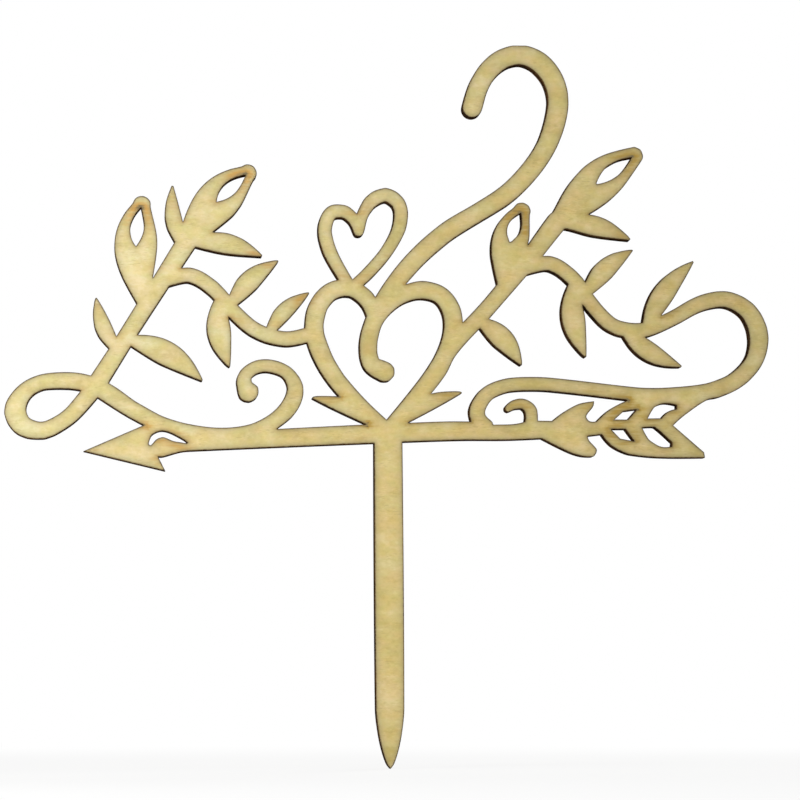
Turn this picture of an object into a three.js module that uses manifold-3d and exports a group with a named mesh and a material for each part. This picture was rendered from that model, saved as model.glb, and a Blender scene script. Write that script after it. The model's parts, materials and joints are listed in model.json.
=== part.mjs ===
// Wooden cake topper: one sheet of three-ply wood, cut to a feathered arrow on a stake,
// with two leafy sprays, two hearts and long swashes above the arrow.
// Millimetres, Z up, front towards -Y. The origin is under the middle, level with the stake's tip.
import * as THREE from "three";
import { mergeVertices } from "three/addons/utils/BufferGeometryUtils.js";
import Module from "manifold-3d";

const wasm = await Module();
wasm.setup();

// Overall sizes: the heights are measured from the middle of the arrow's shaft
const topperWidth = 150;
const scrollHeight = 76.8;
const stakeLength = 65.5;

// Plies of the sheet, front to back: veneer, glue, core, glue, veneer
const faceVeneerThickness = 0.7;
const glueThickness = 0.1;
const coreVeneerThickness = 1.4;

// Widths of the strokes
const shaftWidth = 3.7;
const hookWidth = 3.94;
const swashWidth = 3.15;
const endLoopWidth = 3.35;
const curlWidth = 2.76;
const stemWidth = 3.54;
const vineWidth = 2.95;
const heartWidth = 3.54;
const smallHeartWidth = 2.56;

// Leaves and petals
const leafWidth = 4.1;
const leafFootWidth = 1.4;
const leafTipWidth = 0.5;
const petalWidth = 8.3;
const petalFootWidth = 3;
const petalTipWidth = 3.6;
const eyeletWidth = 2.6;
const eyeletEndWidth = 0.3;

// Stake
const stakeWidth = 5.57;
const stakeTipLength = 12.2;

// Arrowhead and feathers
const headLength = 16.2;
const headWidth = 9.8;
const headGapWidth = 1.2;
const featherLength = 34.6;
const featherWidth = 12.2;

// Closeness of the finished outline to its curves, and the least step between two of its points
const outlineTolerance = 0.1;
const leastStep = 0.001;

// Strokes: each row is [right, up, width], as shares of topperWidth from the left end, of
// scrollHeight above the shaft, and of the stroke's own width.
const shaftShares = [
  [0.2, -0.039, 1.01], [0.227, -0.028, 0.9], [0.252, -0.025, 0.93], [0.331, -0.018, 0.98],
  [0.423, -0.009, 1.01], [0.495, -0.003, 1.01], [0.606, 0.003, 0.98], [0.632, -0.001, 0.84],
  [0.662, 0, 0.84], [0.682, 0.005, 0.95], [0.724, 0.006, 0.9], [0.777, 0.01, 0.69],
  [0.829, 0.015, 0.48], [0.864, 0.018, 0.48],
];
const hookShares = [
  [0.61, 0.836, 1], [0.617, 0.882, 1], [0.63, 0.928, 1], [0.65, 0.962, 1], [0.675, 0.974, 1],
  [0.699, 0.956, 1.05], [0.717, 0.913, 1.05], [0.724, 0.859, 1.05], [0.719, 0.795, 1.05],
  [0.706, 0.731, 1], [0.685, 0.672, 1], [0.656, 0.615, 0.97], [0.619, 0.567, 0.95],
  [0.577, 0.517, 0.97], [0.538, 0.452, 0.96], [0.507, 0.382, 0.92], [0.483, 0.305, 0.9],
  [0.471, 0.228, 0.9], [0.475, 0.174, 0.9], [0.492, 0.154, 1],
];
const leftSwashShares = [
  [0.16, 0.062, 1.06], [0.197, 0.023, 1], [0.239, 0, 0.94], [0.285, -0.008, 0.94],
  [0.324, 0.005, 0.94], [0.353, 0.036, 1.03], [0.37, 0.074, 1.09], [0.375, 0.113, 1],
  [0.365, 0.15, 0.81], [0.346, 0.167, 0.81], [0.327, 0.167, 0.81], [0.312, 0.149, 0.84],
  [0.3085, 0.131, 0.95], [0.3099, 0.117, 1.03], [0.3138, 0.1035, 1.29],
];
const leftLoopShares = [
  [0.244, 0.518, 1.3], [0.222, 0.446, 1.12], [0.196, 0.367, 1.06], [0.168, 0.282, 1],
  [0.143, 0.2, 1.06], [0.122, 0.136, 1.1], [0.1, 0.077, 1], [0.076, 0.031, 0.94],
  [0.047, 0.005, 1], [0.022, 0.018, 1.18], [0.0128, 0.054, 1.28], [0.0224, 0.0975, 1.02],
  [0.0425, 0.124, 0.91], [0.071, 0.131, 0.97], [0.101, 0.126, 1], [0.129, 0.103, 1.06],
  [0.16, 0.062, 1], [0.197, 0.023, 0.92],
];
const rightSwashShares = [
  [0.675, 0.421, 0.94], [0.711, 0.433, 0.94], [0.741, 0.395, 0.94], [0.765, 0.328, 0.94],
  [0.795, 0.272, 0.94], [0.833, 0.262, 0.94], [0.871, 0.291, 0.95], [0.913, 0.333, 1],
  [0.946, 0.341, 1.03], [0.974, 0.31, 1.12], [0.987, 0.249, 1.22], [0.981, 0.186, 1.12],
  [0.958, 0.136, 1.09], [0.923, 0.106, 1.06], [0.882, 0.097, 0.94], [0.836, 0.095, 0.88],
  [0.79, 0.104, 0.86], [0.744, 0.115, 0.86], [0.692, 0.123, 0.86], [0.65, 0.118, 0.88],
  [0.625, 0.095, 0.94], [0.613, 0.056, 1], [0.6145, 0.034, 1.02], [0.6205, 0.0125, 1.32],
];
const curlShares = [
  [0.654, 0.06, 0.52], [0.661, 0.069, 0.68], [0.673, 0.072, 0.73], [0.683, 0.056, 0.89],
  [0.684, 0.026, 0.93], [0.681, 0.005, 1],
];
const leftVineShares = [
  [0.203, 0.387, 1], [0.239, 0.4, 1], [0.27, 0.364, 1], [0.295, 0.308, 1], [0.325, 0.259, 1],
  [0.362, 0.238, 1], [0.398, 0.251, 1],
];
const rightStemShares = [
  [0.575, 0.205, 0.94], [0.601, 0.262, 0.94], [0.633, 0.328, 0.94], [0.664, 0.4, 1],
  [0.696, 0.477, 1.06], [0.722, 0.544, 1.17],
];
const heartLeftShares = [
  [0.48, 0.292, 0.83], [0.47, 0.338, 0.94], [0.449, 0.367, 0.94], [0.425, 0.362, 1],
  [0.407, 0.326, 1.06], [0.4, 0.269, 1.06], [0.408, 0.205, 1.06], [0.428, 0.136, 1],
  [0.458, 0.069, 0.94], [0.495, 0, 0.94],
];
const heartRightShares = [
  [0.475, 0.262, 0.78], [0.491, 0.313, 0.89], [0.514, 0.349, 0.94], [0.542, 0.364, 1],
  [0.567, 0.349, 1], [0.581, 0.305, 1.06], [0.581, 0.246, 1.06], [0.566, 0.174, 1.06],
  [0.535, 0.092, 1], [0.495, 0, 0.94],
];
const smallHeartLeftShares = [
  [0.449, 0.367, 0.92], [0.432, 0.421, 1], [0.419, 0.474, 1.08], [0.415, 0.526, 1.08],
  [0.424, 0.562, 1.08], [0.441, 0.564, 1], [0.453, 0.544, 0.92], [0.459, 0.515, 0.85],
];
const smallHeartRightShares = [
  [0.459, 0.515, 0.85], [0.465, 0.559, 0.92], [0.478, 0.595, 1.08], [0.496, 0.608, 1.08],
  [0.512, 0.585, 1.08], [0.514, 0.538, 1.08], [0.501, 0.479, 1], [0.478, 0.421, 0.96],
  [0.449, 0.367, 0.92],
];

// Leaves and petals: each row is [foot right, foot up, tip right, tip up, bend, width], with
// the bend a share of the blade's length and positive to its left.
const leafShares = [
  [0.146, 0.205, 0.117, 0.338, 0.15, 0.81], [0.155, 0.236, 0.253, 0.133, 0.16, 1.19],
  [0.231, 0.469, 0.216, 0.626, 0.15, 0.81], [0.236, 0.485, 0.331, 0.451, 0.15, 1],
  [0.29, 0.318, 0.352, 0.436, 0.15, 1], [0.277, 0.346, 0.289, 0.169, -0.15, 1.14],
  [0.34, 0.249, 0.392, 0.354, 0.15, 0.81], [0.493, 0.003, 0.399, 0.087, -0.16, 0.81],
  [0.496, 0.003, 0.591, 0.1, 0.16, 0.81], [0.614, 0.287, 0.671, 0.174, 0.16, 1.05],
  [0.719, 0.538, 0.816, 0.497, 0.15, 1], [0.757, 0.349, 0.819, 0.467, 0.15, 1],
  [0.741, 0.385, 0.756, 0.195, -0.15, 1.14], [0.836, 0.259, 0.9, 0.438, 0.14, 1.05],
  [0.806, 0.267, 0.882, 0.169, -0.14, 0.95],
];
const petalShares = [
  [0.227, 0.462, 0.314, 0.662, 0.1, 1], [0.182, 0.323, 0.176, 0.579, 0.16, 1],
  [0.711, 0.513, 0.824, 0.713, 0.08, 1], [0.652, 0.369, 0.674, 0.567, 0.14, 0.86],
];
const leafFullnessShare = 1;
const petalFullnessShare = 1.35;
const eyeletStartShare = 0.6;
const eyeletEndShare = 0.97;
const eyeletFullnessShare = 0.9;

// Arrowhead: [along, up, softness], as shares of headLength towards the tip and of headWidth
// above the shaft's left end. A softness is the share of both sides that rounds a corner. The
// gap behind the head is a stroke, whose third number is a share of headGapWidth.
const headPlaceShares = [0.207, -0.038];
const headShares = [
  [1, -0.08, 0.06], [0.285, 0.43, 0], [0, 0.52, 0.3], [0.108, 0.05, 0.3], [0.13, -0.08, 0.3],
  [0, -0.48, 0.06],
];
const headGapShares = [
  [0.187, 0.07, 0.5], [0.137, 0.2, 1], [0.039, 0.26, 1], [-0.098, 0.18, 1], [-0.245, 0.09, 0.2],
];

// Feathers and the slits cut through them: [right, up, softness], as shares of featherLength
// and of featherWidth
const featherPlaceShares = [0.694, 0.01];
const featherOutlineShares = [
  [
    [0.028, 0, 0], [0.125, 0.234, 0.8], [0.227, 0.395, 0.6], [0.318, 0.435, 0.12],
    [0.312, 0.339, 0.6], [0.261, 0.177, 0.8], [0.312, 0.065, 0.2], [0.312, -0.032, 0],
  ],
  [
    [-0.034, -0.097, 0], [0.142, -0.36, 0.5], [0.239, -0.46, 0.6], [0.312, -0.468, 0.5],
    [0.335, -0.355, 0.6], [0.261, -0.129, 0.9], [0.324, -0.097, 0.3], [0.312, 0.032, 0],
  ],
  [
    [0.324, 0.097, 0.2], [0.403, 0.306, 0.8], [0.506, 0.452, 0.4], [0.642, 0.516, 0],
    [1, 0.516, 0], [0.926, 0.371, 0.5], [0.835, 0.206, 0.5], [0.769, 0.04, 0],
    [0.767, -0.016, 0], [0.358, -0.032, 0],
  ],
  [
    [0.347, -0.065, 0.3], [0.409, -0.298, 0.8], [0.517, -0.444, 0.8], [0.699, -0.484, 0.5],
    [0.95, -0.484, 0.05], [0.947, -0.4, 0.1], [0.769, 0.04, 0], [0.358, 0.065, 0],
  ],
];
const featherSlitShares = [
  [[0.43, 0.138, 0.1], [0.51, 0.132, 0.15], [0.561, 0.299, 0.1], [0.484, 0.275, 0.5]],
  [
    [0.622, 0.154, 0.05], [0.701, 0.154, 0.1], [0.74, 0.272, 0.6], [0.791, 0.306, 0.1],
    [0.791, 0.374, 0.3], [0.715, 0.399, 0.5], [0.661, 0.337, 0.5],
  ],
  [[0.411, -0.017, 0.05], [0.495, -0.017, 0.15], [0.546, -0.218, 0.1], [0.462, -0.18, 0.5]],
  [
    [0.589, 0.003, 0.1], [0.664, 0.014, 0.4], [0.721, -0.139, 0.5], [0.765, -0.246, 0.3],
    [0.759, -0.307, 0.3], [0.7, -0.312, 0.5], [0.628, -0.195, 0.5],
  ],
];

// Stake: its place along the shaft, and how full and how blunt its pointed end is
const stakePlaceShare = 0.496;
const stakeTipFullnessShare = 1.6;
const stakeTipBluntnessShare = 0.65;

// Counts: stations for each row of a stroke, stations in one run, steps of each curved part
const stationsPerRow = 6;
const stationsPerRun = 12;
const knotsPerBlade = 9;
const stepsPerEnd = 12;
const stepsPerCorner = 6;
const stepsPerTip = 24;

const sheetThickness = 2 * faceVeneerThickness + 2 * glueThickness + coreVeneerThickness;

// A place given as shares of the topper's width and of the scroll's height, shaft at zero
function place(right, up) {
  return new THREE.Vector2(right * topperWidth, up * scrollHeight);
}

// A closed solid as thick as the sheet from a polygon that runs counterclockwise
function slab(points) {
  const geometry = new THREE.ExtrudeGeometry(new THREE.Shape(points), {
    depth: sheetThickness,
    bevelEnabled: false,
  });
  geometry.deleteAttribute("normal");
  geometry.deleteAttribute("uv");
  const merged = mergeVertices(geometry);
  return new wasm.Manifold(
    new wasm.Mesh({
      numProp: 3,
      vertProperties: merged.attributes.position.array,
      triVerts: new Uint32Array(merged.index.array),
    }),
  );
}

// Stations along a stroke: its middle, its heading and half its width. Each knot is a vector
// whose third number is the width there.
function stationsAlong(knots) {
  const curve = new THREE.CatmullRomCurve3(knots, false, "centripetal");
  const count = (knots.length - 1) * stationsPerRow;
  return Array.from({ length: count + 1 }, (_, i) => {
    const { x, y, z } = curve.getPoint(i / count);
    const tangent = curve.getTangent(i / count);
    return {
      middle: new THREE.Vector2(x, y),
      heading: Math.atan2(tangent.y, tangent.x),
      half: z / 2,
    };
  });
}

// The point of a station's rim in a direction turned from its heading
function rimPoint({ middle, heading, half }, turn) {
  const angle = heading + turn;
  return new THREE.Vector2(Math.cos(angle), Math.sin(angle)).multiplyScalar(half).add(middle);
}

// Half a turn of rim points round the end of a stroke, without the two on its sides
function endPoints(station, firstTurn) {
  return Array.from({ length: stepsPerEnd - 1 }, (_, i) =>
    rimPoint(station, firstTurn + (Math.PI * (i + 1)) / stepsPerEnd),
  );
}

// The slabs of one stroke. Runs of stations overlap by one step, so a stroke may cross itself.
function strokeSlabs(knots) {
  const stations = stationsAlong(knots);
  const last = stations.length - 1;
  const slabs = [];
  for (let first = 0; first < last; first += stationsPerRun - 1) {
    const end = Math.min(first + stationsPerRun, last);
    const run = stations.slice(first, end + 1);
    const right = run.map((station) => rimPoint(station, -Math.PI / 2));
    const left = run.map((station) => rimPoint(station, Math.PI / 2)).reverse();
    const front = end === last ? endPoints(stations[last], -Math.PI / 2) : [];
    const back = first === 0 ? endPoints(stations[0], Math.PI / 2) : [];
    slabs.push(slab([...right, ...front, ...left, ...back]));
  }
  return slabs;
}

// A stroke whose rows are shares of the whole topper
function scrollStroke(rowShares, width) {
  return strokeSlabs(
    rowShares.map(([right, up, widthShare]) => {
      const { x, y } = place(right, up);
      return new THREE.Vector3(x, y, widthShare * width);
    }),
  );
}

// The bent middle line of a leaf or petal
function bladeLine([footRight, footUp, tipRight, tipUp, bend]) {
  const foot = place(footRight, footUp);
  const tip = place(tipRight, tipUp);
  const along = tip.clone().sub(foot);
  const side = new THREE.Vector2(-along.y, along.x).multiplyScalar(bend);
  const control = foot.clone().lerp(tip, 0.5).add(side);
  return new THREE.QuadraticBezierCurve(foot, control, tip);
}

// Knots along part of a blade's line, with a width that swells between its two ends
function bladeKnots(line, [start, end], [startWidth, endWidth], fullWidth, fullness) {
  return Array.from({ length: knotsPerBlade }, (_, i) => {
    const share = i / (knotsPerBlade - 1);
    const { x, y } = line.getPoint(THREE.MathUtils.lerp(start, end, share));
    const swell = Math.sin(Math.PI * share ** fullness);
    const plain = THREE.MathUtils.lerp(startWidth, endWidth, share);
    const middle = (startWidth + endWidth) / 2;
    return new THREE.Vector3(x, y, plain + (fullWidth - middle) * swell);
  });
}

function leafSlabs(row) {
  const widths = [leafFootWidth, leafTipWidth];
  const fullWidth = row[5] * leafWidth;
  return strokeSlabs(bladeKnots(bladeLine(row), [0, 1], widths, fullWidth, leafFullnessShare));
}

function petalSlabs(row) {
  const widths = [petalFootWidth, petalTipWidth];
  const fullWidth = row[5] * petalWidth;
  return strokeSlabs(bladeKnots(bladeLine(row), [0, 1], widths, fullWidth, petalFullnessShare));
}

function eyeletSlabs(row) {
  const span = [eyeletStartShare, eyeletEndShare];
  const widths = [eyeletEndWidth, eyeletEndWidth];
  return strokeSlabs(bladeKnots(bladeLine(row), span, widths, eyeletWidth, eyeletFullnessShare));
}

// A polygon with soft corners: each is cut back along both sides and bridged by a curve
function softOutline(corners) {
  const path = new THREE.Path();
  corners.forEach(({ point, softness }, i) => {
    const before = corners[(i + corners.length - 1) % corners.length].point;
    const after = corners[(i + 1) % corners.length].point;
    const from = point.clone().lerp(before, softness / 2);
    const to = point.clone().lerp(after, softness / 2);
    if (i === 0) path.moveTo(from.x, from.y);
    else path.lineTo(from.x, from.y);
    if (softness > 0) path.quadraticCurveTo(point.x, point.y, to.x, to.y);
  });
  path.closePath();
  return path.getPoints(stepsPerCorner);
}

// Counterclockwise, without repeated points
function tidyPolygon(points) {
  const apart = points.filter((p, i) => p.distanceTo(points[(i + 1) % points.length]) > leastStep);
  return THREE.ShapeUtils.isClockWise(apart) ? apart.reverse() : apart;
}

// Arrowhead on the left end of the shaft
function headSlab() {
  const foot = place(...headPlaceShares);
  const corners = headShares.map(([along, up, softness]) => ({
    point: new THREE.Vector2(foot.x - along * headLength, foot.y + up * headWidth),
    softness,
  }));
  return slab(tidyPolygon(softOutline(corners)));
}

function headGapSlabs() {
  const foot = place(...headPlaceShares);
  const knots = headGapShares.map(([along, up, width]) => {
    const [x, y] = [foot.x - along * headLength, foot.y + up * headWidth];
    return new THREE.Vector3(x, y, width * headGapWidth);
  });
  return strokeSlabs(knots);
}

// A place on the feathers, from where the front one leaves the shaft
function featherPlace(right, up) {
  const foot = place(...featherPlaceShares);
  return new THREE.Vector2(foot.x + right * featherLength, foot.y + up * featherWidth);
}

function featherSlabs(outlines) {
  return outlines.map((outline) => {
    const corners = outline.map(([right, up, softness]) => {
      return { point: featherPlace(right, up), softness };
    });
    return slab(tidyPolygon(softOutline(corners)));
  });
}

// Stake down from the shaft, with parallel sides and a pointed end
function stakeSlab() {
  const middle = place(stakePlaceShare, 0).x;
  const tipStart = -stakeLength + stakeTipLength;
  const side = Array.from({ length: stepsPerTip + 1 }, (_, i) => {
    const share = i / stepsPerTip;
    const narrowing = (1 - share ** stakeTipFullnessShare) ** stakeTipBluntnessShare;
    return new THREE.Vector2((narrowing * stakeWidth) / 2, tipStart - share * stakeTipLength);
  });
  const right = [new THREE.Vector2(stakeWidth / 2, 0), ...side.slice(0, -1)];
  const left = right.map(({ x, y }) => new THREE.Vector2(-x, y));
  const outline = [...left, side[stepsPerTip], ...right.reverse()];
  return slab(outline.map(({ x, y }) => new THREE.Vector2(middle + x, y)));
}

// Everything joined, with the eyelets, slits and the gap behind the arrowhead cut through
function joinedSheet() {
  const strokes = [
    scrollStroke(shaftShares, shaftWidth),
    scrollStroke(hookShares, hookWidth),
    scrollStroke(leftSwashShares, swashWidth),
    scrollStroke(leftLoopShares, endLoopWidth),
    scrollStroke(rightSwashShares, swashWidth),
    scrollStroke(curlShares, curlWidth),
    scrollStroke(leftVineShares, vineWidth),
    scrollStroke(rightStemShares, stemWidth),
    scrollStroke(heartLeftShares, heartWidth),
    scrollStroke(heartRightShares, heartWidth),
    scrollStroke(smallHeartLeftShares, smallHeartWidth),
    scrollStroke(smallHeartRightShares, smallHeartWidth),
  ].flat();
  const blades = [...leafShares.flatMap(leafSlabs), ...petalShares.flatMap(petalSlabs)];
  const feathers = featherSlabs(featherOutlineShares);
  const solid = [stakeSlab(), headSlab(), ...feathers, ...strokes, ...blades];
  const slits = featherSlabs(featherSlitShares);
  const cuts = [...petalShares.flatMap(eyeletSlabs), ...headGapSlabs(), ...slits];
  const sheet = solid.reduce((whole, piece) => whole.add(piece));
  return cuts.reduce((whole, cut) => whole.subtract(cut), sheet);
}

// The closed loops round the sheet's upper side, walked along the edges that one triangle has
function capLoops(sheet) {
  const { vertProperties, triVerts } = sheet.getMesh();
  const isUpper = (v) => vertProperties[3 * v + 2] > sheetThickness / 2;
  const next = new Map();
  for (let i = 0; i < triVerts.length; i += 3) {
    const corners = [triVerts[i], triVerts[i + 1], triVerts[i + 2]];
    if (!corners.every(isUpper)) continue;
    corners.forEach((from, k) => {
      const to = corners[(k + 1) % 3];
      if (next.get(to)?.has(from)) next.get(to).delete(from);
      else next.set(from, (next.get(from) ?? new Set()).add(to));
    });
  }
  const loops = [];
  for (const [start, ends] of next) {
    while (ends.size) {
      const loop = [];
      let at = start;
      do {
        loop.push(new THREE.Vector2(vertProperties[3 * at], vertProperties[3 * at + 1]));
        const [to] = next.get(at);
        next.get(at).delete(to);
        at = to;
      } while (at !== start);
      loops.push(loop);
    }
  }
  return loops;
}

// The points of an open chain that keep it within the outline's tolerance
function thinnedChain(chain) {
  const first = chain[0];
  const last = chain[chain.length - 1];
  const along = last.clone().sub(first);
  const length = along.length();
  let farthest = 0;
  let most = outlineTolerance;
  chain.forEach((point, i) => {
    const offset = point.clone().sub(first);
    const distance = length > 0 ? Math.abs(along.cross(offset)) / length : offset.length();
    if (distance > most) [farthest, most] = [i, distance];
  });
  if (!farthest) return [first, last];
  const head = thinnedChain(chain.slice(0, farthest + 1));
  return [...head.slice(0, -1), ...thinnedChain(chain.slice(farthest))];
}

// A closed loop thinned in two halves, between its first point and the one farthest from it
function thinnedLoop(loop) {
  const distances = loop.map((point) => point.distanceTo(loop[0]));
  const farthest = distances.indexOf(Math.max(...distances));
  const out = thinnedChain(loop.slice(0, farthest + 1));
  const back = thinnedChain([...loop.slice(farthest), loop[0]]);
  return [...out.slice(0, -1), ...back.slice(0, -1)];
}

// The outline that every ply shares: centred left to right, with the stake's tip at zero
function sheetShape() {
  const loops = capLoops(joinedSheet()).map(thinnedLoop);
  const outer = loops.find((loop) => !THREE.ShapeUtils.isClockWise(loop));
  const box = new THREE.Box2().setFromPoints(outer);
  const corner = new THREE.Vector2((box.min.x + box.max.x) / 2, box.min.y);
  loops.flat().forEach((point) => point.sub(corner));
  const shape = new THREE.Shape(outer);
  shape.holes = loops.filter((loop) => loop !== outer).map((loop) => new THREE.Path(loop));
  return shape;
}

const faceWood = new THREE.MeshStandardMaterial({ color: 0xcdbb85, roughness: 0.75, metalness: 0 });
const coreWood = new THREE.MeshStandardMaterial({ color: 0xc3a874, roughness: 0.8, metalness: 0 });
const glue = new THREE.MeshStandardMaterial({ color: 0x4a3720, roughness: 0.6, metalness: 0 });

const shape = sheetShape();

// One ply of the sheet, standing up, with its front face at the given depth
function ply(name, thickness, frontDepth, material) {
  const geometry = new THREE.ExtrudeGeometry(shape, { depth: thickness, bevelEnabled: false });
  geometry.rotateX(Math.PI / 2);
  const mesh = new THREE.Mesh(geometry, material);
  mesh.name = name;
  mesh.position.y = frontDepth + thickness;
  return mesh;
}

const plies = [
  ["front_face_veneer", faceVeneerThickness, faceWood],
  ["front_glue_line", glueThickness, glue],
  ["core_veneer", coreVeneerThickness, coreWood],
  ["back_glue_line", glueThickness, glue],
  ["back_face_veneer", faceVeneerThickness, faceWood],
];

// Cake topper: the plies face to face, with the middle of the sheet at zero depth
const cakeTopper = new THREE.Group();
let depth = -sheetThickness / 2;
for (const [name, thickness, material] of plies) {
  cakeTopper.add(ply(name, thickness, depth, material));
  depth += thickness;
}

export default cakeTopper;
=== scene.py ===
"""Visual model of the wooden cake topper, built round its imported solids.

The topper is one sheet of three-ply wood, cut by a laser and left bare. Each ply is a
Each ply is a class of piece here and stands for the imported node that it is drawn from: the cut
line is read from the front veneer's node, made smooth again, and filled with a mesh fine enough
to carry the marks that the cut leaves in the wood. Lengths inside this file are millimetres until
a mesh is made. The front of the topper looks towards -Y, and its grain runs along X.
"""

from __future__ import annotations

import json
import logging
import math
from dataclasses import dataclass, field
from enum import Enum
from typing import Any

import bpy
import numpy as np
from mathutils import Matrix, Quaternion, Vector, kdtree
from mathutils.geometry import delaunay_2d_cdt

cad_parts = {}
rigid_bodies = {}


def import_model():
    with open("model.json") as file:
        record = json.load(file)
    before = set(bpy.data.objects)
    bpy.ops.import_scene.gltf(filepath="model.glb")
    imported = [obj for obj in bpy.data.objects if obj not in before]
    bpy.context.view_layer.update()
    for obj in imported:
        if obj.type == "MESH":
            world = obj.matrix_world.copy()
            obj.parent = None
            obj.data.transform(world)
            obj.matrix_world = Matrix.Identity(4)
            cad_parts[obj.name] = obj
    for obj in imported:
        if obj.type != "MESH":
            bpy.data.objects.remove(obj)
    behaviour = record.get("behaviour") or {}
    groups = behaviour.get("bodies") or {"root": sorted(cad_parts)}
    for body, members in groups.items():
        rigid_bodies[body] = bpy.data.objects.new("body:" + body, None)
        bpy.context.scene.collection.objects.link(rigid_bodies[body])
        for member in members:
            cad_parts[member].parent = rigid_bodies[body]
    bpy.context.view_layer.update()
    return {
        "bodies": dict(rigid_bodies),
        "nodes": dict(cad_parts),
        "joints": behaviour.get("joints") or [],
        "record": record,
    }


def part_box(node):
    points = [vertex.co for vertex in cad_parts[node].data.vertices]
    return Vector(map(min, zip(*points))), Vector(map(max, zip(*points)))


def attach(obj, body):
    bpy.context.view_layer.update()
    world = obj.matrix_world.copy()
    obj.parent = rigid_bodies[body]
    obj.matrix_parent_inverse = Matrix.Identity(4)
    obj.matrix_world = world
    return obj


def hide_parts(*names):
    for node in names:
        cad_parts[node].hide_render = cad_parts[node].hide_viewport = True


LOG = logging.getLogger("cake_topper")
MM = 0.001
TINY = 1e-6
WHITE = (1.0, 1.0, 1.0, 1.0)

Span = tuple[float, float]
Triple = tuple[float, float, float]
Color = Triple


def linear(red: int, green: int, blue: int) -> Color:
    """Turns a display colour into the linear one that a material takes.

    Args:
        red: Red from 0 to 255.
        green: Green from 0 to 255.
        blue: Blue from 0 to 255.

    Returns:
        The colour as linear red, green and blue.
    """

    def channel(value: int) -> float:
        """Undoes the display curve of one channel."""
        share = value / 255
        return share / 12.92 if share <= 0.04045 else ((share + 0.055) / 1.055) ** 2.4

    return channel(red), channel(green), channel(blue)


class Ply(Enum):
    """The five layers of the sheet, front to back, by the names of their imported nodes."""

    FRONT_VENEER = "front_face_veneer"
    FRONT_GLUE = "front_glue_line"
    CORE = "core_veneer"
    BACK_GLUE = "back_glue_line"
    BACK_VENEER = "back_face_veneer"


class Facing(Enum):
    """Which way the seen face of a ply looks along Y."""

    FRONT = -1
    BACK = 1


class CutMark(Enum):
    """What each vertex of a face knows of the cut, by the names of the mesh's attributes."""

    DISTANCE = "cut_distance"
    HEAT = "cut_heat"


def places_of(mesh: bpy.types.Mesh) -> np.ndarray:
    """Reads the places of a mesh's vertices, in millimetres."""
    places = np.empty(len(mesh.vertices) * 3, np.float32)
    mesh.vertices.foreach_get("co", places)
    return places.reshape(-1, 3).astype(float) / MM


# ---------------------------------------------------------------- the cut line


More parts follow.
